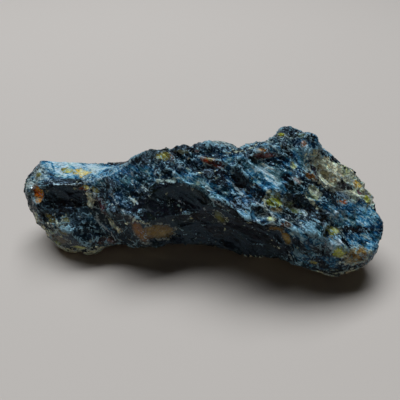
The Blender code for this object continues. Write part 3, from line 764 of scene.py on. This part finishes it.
# Pale blue of the flecks, partly crushed resin and partly painted glints.
FLECK_AND_GLINT_COLOUR = (0.66, 0.90, 0.96)
WINDOW_RIM = (0.50, 0.54, 0.44)
REFRACTION = 1.54
CLEARNESS = 0.25
GLINT_TINT = (0.32, 0.54, 0.72, 1)
INNER_COLOUR = (0.80, 0.38, 0.08, 1)
INNER_DENSITY = 300.0

SPECKS = {"Size mm": 0.75, "Share": 0.15}
FLECKS_AND_GLINTS = {"Size mm": 0.7, "Share": 0.28}
HAIRLINES = ((5.0, 0.20, 0.8), (2.4, 0.22, 0.7))  # chip size and line width in mm, and strength
TEAL_PATCH = 5.0
BLOOM_AND_GLOW_RANGE = (0.07, 0.77)  # from no frost and painted glow to full
# How far the shade marks, partly painted shade, take the bloom down.
SHADE_DEPTH = 0.7
RIND_MIX = {"big": 0.35, "small": 0.2}  # how far the smaller grains show in the stones
RIND_BRIGHTNESS = 3.7
RIND_CONTRAST = 6.0
WINDOW_CONTRAST = 3.0
SPECK_REACH = 0.38
COVER = {"teal": 0.75, "rind": 0.9, "rim": 0.6, "edge": 0.6, "line": 0.85}
GLOSS = 0.17
DULLED = {"dust": 0.28, "rind": 0.22, "line": 0.2, "fresh": 0.02}
CARVED = {"big": 0.6, "broad": 0.4, "small": 0.9, "thin": 0.5, "dust": 0.36, "wide": 0.2}
MASKS = {  # the value at which each mask begins, and the one at which it is full
    "patchy": (0.0, 0.6),
    "teal": (0.48, 0.62),
    "greyish": (0.3, 1.0),
    "frosted": (0.45, 0.8),
    "fresh": (0.2, 0.6),
    "shaded": (0.1, 0.4),
    "little_bloom_and_glow": (0.50, 0.34),
    "crusted": (0.3, 0.55),
    "in_window": (0.0, 0.16),
    "window_middle": (0.0, 0.6),
    "thick": (0.0, 1.0),
    "near_window": (-0.2, -0.02),
    "out_of_window": (0.14, 0.0),
    "coarse_grain": (0.44, 0.56),
    "sharp": (0.23, 0.30),
    "off_crust": (0.9, 0.0),
    "off_shade": (0.6, 0.1),
    "some_bloom_and_glow": (-0.1, 0.7),
    "hint_of_bloom_and_glow": (-0.5, 0.4),
    "on_line": (0.1, 0.8),
    "on_hairline": (1.0, 0.3),
    "hairline_place": (0.53, 0.60),
}


def add_node(tree, kind, inputs=(), **settings):
    """A node of this kind. Each input is a value, or another node's output to link."""
    node = tree.nodes.new(kind)
    for name, value in settings.items():
        setattr(node, name, value)
    for key, value in dict(inputs).items():
        if isinstance(value, bpy.types.NodeSocket):
            tree.links.new(value, node.inputs[key])
        else:
            node.inputs[key].default_value = value
    return node


def calculate(tree, operation, *values):
    """One sum done on numbers; MULTIPLY_ADD is the first times the second, plus the third."""
    node = add_node(tree, "ShaderNodeMath", dict(enumerate(values)), operation=operation)
    return node.outputs[0]


def product(tree, first, *others):
    """All of them multiplied together."""
    for other in others:
        first = calculate(tree, "MULTIPLY", first, other)
    return first


def on_vectors(tree, operation, inputs):
    """One sum done on vectors, such as SUBTRACT, SCALE or DOT_PRODUCT."""
    node = add_node(tree, "ShaderNodeVectorMath", inputs, operation=operation)
    return node.outputs["Value" if operation == "DOT_PRODUCT" else "Vector"]


def mask(tree, name, value):
    """0 and 1 at the two limits that MASKS gives, and a smooth S between."""
    begin, full = MASKS[name]
    inputs = {"Value": value, "From Min": begin, "From Max": full}
    node = add_node(tree, "ShaderNodeMapRange", inputs, interpolation_type="SMOOTHSTEP")
    return node.outputs["Result"]


def colour_ramp(tree, value, stops):
    """The colour at this value, mixed evenly between the two stops beside it."""
    node = add_node(tree, "ShaderNodeValToRGB", {"Fac": value})
    elements = node.color_ramp.elements
    while len(elements) < len(stops):
        elements.new(0.5)
    for element, (position, colour) in zip(elements, stops):
        element.position = position
        element.color = (*colour, 1)
    return node.outputs["Color"]


def blend(tree, share, under, over):
    """under x (1 - share) + over x share; a plain colour is given as three numbers."""
    node = add_node(tree, "ShaderNodeMix", {0: share}, data_type="RGBA")
    for socket, colour in ((6, under), (7, over)):  # the node's two colour inputs
        if isinstance(colour, bpy.types.NodeSocket):
            tree.links.new(colour, node.inputs[socket])
        else:
            node.inputs[socket].default_value = (*colour, 1)
    return node.outputs[2]  # its colour output


def new_group(name, sizes, results):
    """An empty node group: it takes a place and these sizes, and gives results of these kinds."""
    tree = bpy.data.node_groups.new(name, "ShaderNodeTree")
    tree.interface.new_socket("Place", in_out="INPUT", socket_type="NodeSocketVector")
    for label, size in sizes.items():
        socket = tree.interface.new_socket(label, in_out="INPUT", socket_type="NodeSocketFloat")
        socket.default_value = size
    for label, kind in results.items():
        tree.interface.new_socket(label, in_out="OUTPUT", socket_type="NodeSocket" + kind)
    return tree, tree.nodes.new("NodeGroupInput").outputs


def hand_out(tree, results):
    """Link the results to the sockets of the same name, which finishes the group."""
    add_node(tree, "NodeGroupOutput", results)
    return tree


def use(tree, group, inputs):
    """The outputs of a node group set down in this tree."""
    return add_node(tree, "ShaderNodeGroup", inputs, node_tree=group).outputs


def in_cells(tree, given):
    """The place over the cell size, both as given."""
    per_cell = calculate(tree, "DIVIDE", 1 / MM, given["Size mm"])
    return on_vectors(tree, "SCALE", {0: given["Place"], "Scale": per_cell})


def cells_at(tree, scaled, feature="F1"):
    """Cells of size 1 round scattered seeds."""
    inputs = {"Vector": scaled, "Scale": 1.0}
    return add_node(tree, "ShaderNodeTexVoronoi", inputs, feature=feature).outputs


def make_chips():
    """Flat chips, each its own tilted plane: its height in mm, and two random shades."""
    tree, given = new_group(
        "resin_chips", {"Size mm": 1.0},
        {"Height mm": "Float", "Shade": "Float", "Second Shade": "Float"},
    )
    scaled = in_cells(tree, given)
    cells = cells_at(tree, scaled)
    away = on_vectors(tree, "SUBTRACT", {0: scaled, 1: cells["Position"]})
    tilt = on_vectors(tree, "SUBTRACT", {0: cells["Color"], 1: (0.5, 0.5, 0.5)})
    plane = on_vectors(tree, "DOT_PRODUCT", {0: away, 1: tilt})
    shades = add_node(tree, "ShaderNodeSeparateColor", {"Color": cells["Color"]}).outputs
    return hand_out(tree, {
        "Height mm": product(tree, plane, given["Size mm"]),
        "Shade": shades["Green"],
        "Second Shade": shades["Blue"],
    })


def make_flow_place():
    """The place squeezed along the flow of the resin, so that what is laid on it is drawn out."""
    tree, given = new_group("drawn_out_place", {"Length": 3.0}, {"Place": "Vector"})
    along = on_vectors(tree, "DOT_PRODUCT", {0: given["Place"], 1: tuple(FLOW_WAY)})
    share = calculate(tree, "SUBTRACT", calculate(tree, "DIVIDE", 1.0, given["Length"]), 1.0)
    pull = on_vectors(
        tree, "SCALE", {0: tuple(FLOW_WAY), "Scale": product(tree, along, share)}
    )
    return hand_out(tree, {"Place": on_vectors(tree, "ADD", {0: given["Place"], 1: pull})})


def make_streaks():
    """Noise drawn out along the flow of the resin: a soft value about 0.5."""
    tree, given = new_group("flow_streaks", {"Width mm": 1.0, "Length": 6.0}, {"Value": "Float"})
    width = given["Width mm"]
    sides = {"X": product(tree, width, given["Length"]), "Y": width, "Z": width}
    size = add_node(tree, "ShaderNodeCombineXYZ", sides).outputs[0]
    laid = add_node(
        tree, "ShaderNodeMapping",
        {
            "Vector": given["Place"],
            "Rotation": Vector(FLOW_WAY).to_track_quat("X", "Z").to_euler(),
            "Scale": on_vectors(tree, "SCALE", {0: size, "Scale": MM}),
        },
        vector_type="TEXTURE",
    )
    noise = add_node(
        tree, "ShaderNodeTexNoise",
        {"Vector": laid.outputs[0], "Scale": 1.0, "Detail": 2.0, "Roughness": 0.6},
    )
    return hand_out(tree, {"Value": noise.outputs["Fac"]})


def make_specks():
    """Scattered specks of crushed resin: 1 inside a speck, and a random strength for each."""
    tree, given = new_group("crushed_specks", {"Size mm": 0.8, "Share": 0.1}, {"Mask": "Float"})
    cells = cells_at(tree, in_cells(tree, given))
    chance = add_node(tree, "ShaderNodeSeparateColor", {"Color": cells["Color"]}).outputs
    chosen = calculate(tree, "LESS_THAN", chance["Red"], given["Share"])
    inside = calculate(tree, "LESS_THAN", cells["Distance"], SPECK_REACH)
    return hand_out(tree, {"Mask": product(tree, chosen, chance["Blue"], inside)})


def make_hairlines():
    """Broken straight hairlines where chips of this size meet: 1 on a line."""
    tree, given = new_group(
        "hairline_cracks", {"Size mm": 4.0, "Width mm": 0.2}, {"Mask": "Float"}
    )
    scaled = in_cells(tree, given)
    border = cells_at(tree, scaled, "DISTANCE_TO_EDGE")["Distance"]
    gap = calculate(tree, "DIVIDE", product(tree, border, given["Size mm"]), given["Width mm"])
    presence = add_node(
        tree, "ShaderNodeTexNoise", {"Vector": scaled, "Scale": 1.7, "Detail": 1.0}
    )
    shown = mask(tree, "hairline_place", presence.outputs["Fac"])
    return hand_out(tree, {"Mask": product(tree, mask(tree, "on_hairline", gap), shown)})


CHIP_GROUP = make_chips()
FLOW_GROUP = make_flow_place()
STREAK_GROUP = make_streaks()
SPECK_GROUP = make_specks()
HAIRLINE_GROUP = make_hairlines()


def make_amber():
    """Layers of finish over the dark resin, from the deepest to the outermost."""
    material = bpy.data.materials.new("amber")
    material.use_nodes = True
    tree = material.node_tree
    tree.nodes.clear()
    place = add_node(tree, "ShaderNodeTexCoord").outputs["Object"]

    def attribute(name, output="Fac"):
        """what was stored on the skin under this name"""
        return add_node(tree, "ShaderNodeAttribute", attribute_name=name).outputs[output]

    def noise(size_mm):
        """soft noise about 0.5, in lumps of this size"""
        inputs = {"Vector": place, "Scale": 1 / (size_mm * MM), "Detail": 2.0}
        return add_node(tree, "ShaderNodeTexNoise", inputs).outputs["Fac"]

    def plus(start, value, share):
        """start + value x share"""
        return calculate(tree, "MULTIPLY_ADD", value, share, start)

    def fade(at_none, at_full, value):
        """at_none where the value is 0, at_full where it is 1, and evenly between"""
        return plus(at_none, value, at_full - at_none)

    def sway(value, **shares):
        """value + share x (pattern - 0.5) for every pattern that is named"""
        for name, share in shares.items():
            value = plus(value, calculate(tree, "SUBTRACT", patterns[name], 0.5), share)
        return value

    def brightened(colour, scale):
        """the colour x the scale"""
        return on_vectors(tree, "SCALE", {0: colour, "Scale": scale})

    flow = use(tree, FLOW_GROUP, {"Place": place, "Length": BLADE_LENGTH})["Place"]
    broad = use(tree, CHIP_GROUP, {"Place": flow, "Size mm": 2.6})
    big = use(tree, CHIP_GROUP, {"Place": flow, "Size mm": 1.3})
    small = use(tree, CHIP_GROUP, {"Place": place, "Size mm": 0.8})
    stones = use(tree, CHIP_GROUP, {"Place": place, "Size mm": 2.8})
    wide = use(tree, STREAK_GROUP, {"Place": place, "Width mm": 1.3, "Length": 10.0})["Value"]
    thin = use(tree, STREAK_GROUP, {"Place": place, "Width mm": 0.5, "Length": 16.0})["Value"]
    region, blotch, grain, dust = noise(9.0), noise(2.4), noise(0.9), noise(0.5)
    patterns = dict(
        broad=broad["Shade"], big=big["Shade"], small=small["Shade"], wide=wide, thin=thin,
        region=region, blotch=blotch, grain=grain, dust=dust,
    )
    lively = fade(0.35, 1.0, attribute("lively"))

    # Bloom over dark resin: the thicker the dust lies, the paler it is. The frost marks add
    # painted light here, the blue glow and reflection of lit faces, and the shade marks take it
    # down as painted shade. It is patchy over the chips and drawn out along the flow.
    patches = sway(
        0.0, wide=0.8, thin=1.2, big=0.32, broad=0.30, small=0.16, dust=0.4, grain=0.5, blotch=0.5
    )
    patchiness = fade(0.4, 1.0, mask(tree, "patchy", attribute("frost_and_glow")))
    shade = sway(attribute("shade"), grain=0.4, thin=0.5)
    bloom_and_painted_light = plus(fade(*BLOOM_AND_GLOW_RANGE, attribute("frost_and_glow")), shade, -SHADE_DEPTH)
    bloom_and_painted_light = plus(bloom_and_painted_light, patches, product(tree, patchiness, lively))
    stops, *looks = zip(*BLOOM_AND_GLOW)
    blue, grey, teal = (colour_ramp(tree, bloom_and_painted_light, list(zip(stops, look))) for look in looks)
    teal_patches = mask(tree, "teal", sway(noise(TEAL_PATCH), blotch=0.6))
    blue = blend(tree, product(tree, teal_patches, COVER["teal"]), blue, teal)
    greyness = mask(tree, "greyish", sway(attribute("grey"), region=1.2, blotch=1.2))
    colour = blend(tree, greyness, blue, grey)

    # Fresh faces are nearly black, here brownish, there violet or olive. The shade marks take
    # the same dark colour, as painted shade in gaps, clefts and under the arch.
    fresh_mask = mask(tree, "fresh", sway(attribute("fresh"), grain=0.5))
    body = colour_ramp(tree, sway(region, blotch=0.8, thin=0.5), FRESH_RESIN)
    bare = calculate(tree, "MAXIMUM", fresh_mask, mask(tree, "shaded", shade))
    colour = blend(tree, product(tree, bare, mask(tree, "little_bloom_and_glow", bloom_and_painted_light)), colour, body)

    # How bright one grain is against the next, for the rind and the windows.
    shine = product(tree, sway(0.0, dust=1.6, grain=1.0, thin=1.0, small=0.35), lively)

    # Weathered rind: a mosaic of khaki, grey, slate and rust grains.
    rind = colour_ramp(tree, sway(stones["Second Shade"], grain=0.5), RIND)
    for name, grains in (("big", big), ("small", small)):
        rind = blend(tree, RIND_MIX[name], rind, colour_ramp(tree, grains["Second Shade"], RIND))
    glint = calculate(tree, "POWER", RIND_CONTRAST, shine)
    rind = brightened(rind, product(tree, RIND_BRIGHTNESS, glint))
    crust = sway(attribute("crust"), blotch=1.4, small=0.4)
    crust_mask = product(tree, mask(tree, "crusted", crust), COVER["rind"])
    colour = blend(tree, crust_mask, colour, rind)

    # Clear windows of younger resin with a pale broken rim, painted brightest in their middles
    # as the glow of light shining through them.
    ragged = sway(0.0, blotch=0.7, big=0.2, grain=0.6)
    window = plus(attribute("window"), ragged, fade(0.4, 1.0, lively))
    # Painted glow: the middles of the windows are brightened for the light shining through them.
    depth = fade(0.6, 1.5, mask(tree, "window_middle", window))
    depth = product(tree, depth, calculate(tree, "POWER", WINDOW_CONTRAST, shine))
    thickness = mask(tree, "thick", sway(0.5, blotch=2.2, big=0.5, grain=1.2))
    thickness = plus(1.0, fade(-0.45, 0.85, thickness), lively)
    glow = add_node(
        tree, "ShaderNodeGamma", {"Color": attribute("window_tint", "Color"), "Gamma": thickness}
    )
    glow = brightened(glow.outputs["Color"], depth)
    colour = blend(tree, mask(tree, "in_window", window), colour, glow)
    rim = product(
        tree, mask(tree, "near_window", window), mask(tree, "out_of_window", window),
        mask(tree, "coarse_grain", grain), COVER["rim"],
    )
    colour = blend(tree, rim, colour, WINDOW_RIM)

    # White crushed resin along the edges and lines, in cracks and as specks. The pale blue
    # flecks on the bloom are partly crushed resin and partly painted glints.
    edge = sway(attribute("edge"), grain=0.6, dust=0.8)
    edge_mask = product(
        tree, mask(tree, "sharp", edge), COVER["edge"], mask(tree, "off_crust", crust_mask),
        mask(tree, "off_shade", shade),
    )
    powder = blend(tree, greyness, CRUSHED_BLUE, CRUSHED_GREY)
    colour = blend(tree, edge_mask, colour, powder)
    rough_face = product(tree, fade(1.0, 0.3, fresh_mask), lively)
    specks = use(tree, SPECK_GROUP, {"Place": place, **SPECKS})["Mask"]
    colour = blend(tree, product(tree, specks, rough_face), colour, powder)
    flecks_and_glints = use(tree, SPECK_GROUP, {"Place": flow, **FLECKS_AND_GLINTS})["Mask"]
    flecks_and_glints = product(tree, flecks_and_glints, mask(tree, "some_bloom_and_glow", bloom_and_painted_light), rough_face)
    colour = blend(tree, flecks_and_glints, colour, FLECK_AND_GLINT_COLOUR)
    for size, width, strength in HAIRLINES:
        lines = use(tree, HAIRLINE_GROUP, {"Place": place, "Size mm": size, "Width mm": width})
        dusty = mask(tree, "hint_of_bloom_and_glow", bloom_and_painted_light)
        hairlines = product(tree, lines["Mask"], rough_face, dusty, strength)
        colour = blend(tree, hairlines, colour, powder)
    line = sway(attribute("line"), dust=2.4, grain=3.4, blotch=1.6)
    line_mask = product(tree, mask(tree, "on_line", line), COVER["line"])
    colour = blend(tree, line_mask, colour, attribute("line_tint", "Color"))

    # Glossy where fresh or clear, dull where dusty or weathered.
    finishes = dict(
        dust=mask(tree, "frosted", bloom_and_painted_light), rind=crust_mask, line=line_mask, fresh=fresh_mask
    )
    roughness = GLOSS
    for name, finish in finishes.items():
        roughness = plus(roughness, finish, DULLED[name])
    roughness = sway(roughness, small=0.15)

    # Chips, steps and grain too small for the mesh, in mm, and nearly gone on fresh faces.
    heights = dict(
        big=big["Height mm"], broad=broad["Height mm"], small=small["Height mm"],
        thin=thin, dust=dust,
    )
    chipped = 0.0
    for name, height in heights.items():
        chipped = plus(chipped, height, CARVED[name])
    rough_share = product(tree, fade(1.0, 0.2, fresh_mask), lively)
    height = plus(product(tree, wide, CARVED["wide"]), chipped, rough_share)
    bump = add_node(tree, "ShaderNodeBump", {"Height": height, "Distance": MM, "Strength": 1.0})

    shader = add_node(
        tree, "ShaderNodeBsdfPrincipled",
        {
            "Base Color": colour,
            "Roughness": roughness,
            "Normal": bump.outputs["Normal"],
            "IOR": REFRACTION,
            "Transmission Weight": CLEARNESS,
            "Specular Tint": GLINT_TINT,
        },
    )
    inside = add_node(
        tree, "ShaderNodeVolumeAbsorption", {"Color": INNER_COLOUR, "Density": INNER_DENSITY}
    )
    add_node(
        tree, "ShaderNodeOutputMaterial",
        {"Surface": shader.outputs["BSDF"], "Volume": inside.outputs["Volume"]},
    )
    return material


skin_mesh.materials.append(make_amber())
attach(amber, "root")
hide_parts("raw_amber")

# ---- The table ------------------------------------------------------------------------------
# A plain pale tabletop, dull like bare plaster, that the lump rests on. It is one flat square,
# far larger than what is seen of it, so that no edge shows.

TABLE_HALF = 4.0
TABLE_COLOUR = (0.52, 0.43, 0.37, 1)
TABLE_ROUGHNESS = 0.8

table_mesh = bpy.data.meshes.new("tabletop")
corners = [(x * TABLE_HALF, y * TABLE_HALF, 0) for x, y in ((-1, -1), (1, -1), (1, 1), (-1, 1))]
table_mesh.from_pydata(corners, [], [(0, 1, 2, 3)])
table = bpy.data.objects.new("tabletop", table_mesh)
bpy.context.scene.collection.objects.link(table)
table_finish = bpy.data.materials.new("tabletop")
table_finish.use_nodes = True
table_shader = table_finish.node_tree.nodes["Principled BSDF"]
table_shader.inputs["Base Color"].default_value = TABLE_COLOUR
table_shader.inputs["Roughness"].default_value = TABLE_ROUGHNESS
table_mesh.materials.append(table_finish)

# ---- Light and camera -------------------------------------------------------------------------
# A wide window behind and above, a little to the left, a weak card in front, and soft grey
# all round. The camera looks down from the front as a person at the table would.

WINDOW_PLACE = Vector((-0.20, 0.50, 1.53))
WINDOW_SIZE = (1.40, 0.90)
WINDOW_POWER = 38.0
WINDOW_COLOUR = (0.78, 0.90, 1.0)
CARD_PLACE = Vector((0.35, -0.60, 0.45))
CARD_SIZE = (0.60, 0.60)
CARD_POWER = 0.12
CARD_COLOUR = (1.0, 0.97, 0.93)
SKY_COLOUR = (0.80, 0.88, 1.0, 1)
SKY_STRENGTH = 0.006
EYE = np.array((3.5, -112.0, 101.5))
LOOK_DOWN = math.radians(36)
LENS = 36
FILM_WIDTH = 36
NEAREST_SEEN = 0.01


def add_light(name, place, size, power, colour):
    """A flat lamp of this size that faces the lump."""
    lamp = bpy.data.lights.new(name, "AREA")
    lamp.shape = "RECTANGLE"
    lamp.size, lamp.size_y = size
    lamp.energy = power
    lamp.color = colour
    light = bpy.data.objects.new(name, lamp)
    light.location = place
    light.rotation_euler = (-place).to_track_quat("-Z", "Y").to_euler()
    bpy.context.scene.collection.objects.link(light)


add_light("window", WINDOW_PLACE, WINDOW_SIZE, WINDOW_POWER, WINDOW_COLOUR)
add_light("card", CARD_PLACE, CARD_SIZE, CARD_POWER, CARD_COLOUR)

world = bpy.data.worlds.new("studio")
world.use_nodes = True
sky = world.node_tree.nodes["Background"]
sky.inputs["Color"].default_value = SKY_COLOUR
sky.inputs["Strength"].default_value = SKY_STRENGTH
bpy.context.scene.world = world

camera_data = bpy.data.cameras.new("camera")
camera_data.lens = LENS
camera_data.sensor_width = FILM_WIDTH
camera_data.clip_start = NEAREST_SEEN
camera = bpy.data.objects.new("camera", camera_data)
camera.location = Vector((EYE - lump_middle) * MM)
camera.rotation_euler = (math.pi / 2 - LOOK_DOWN, 0, 0)
bpy.context.scene.collection.objects.link(camera)
bpy.context.scene.camera = camera
bpy.context.scene.view_settings.view_transform = "Standard"
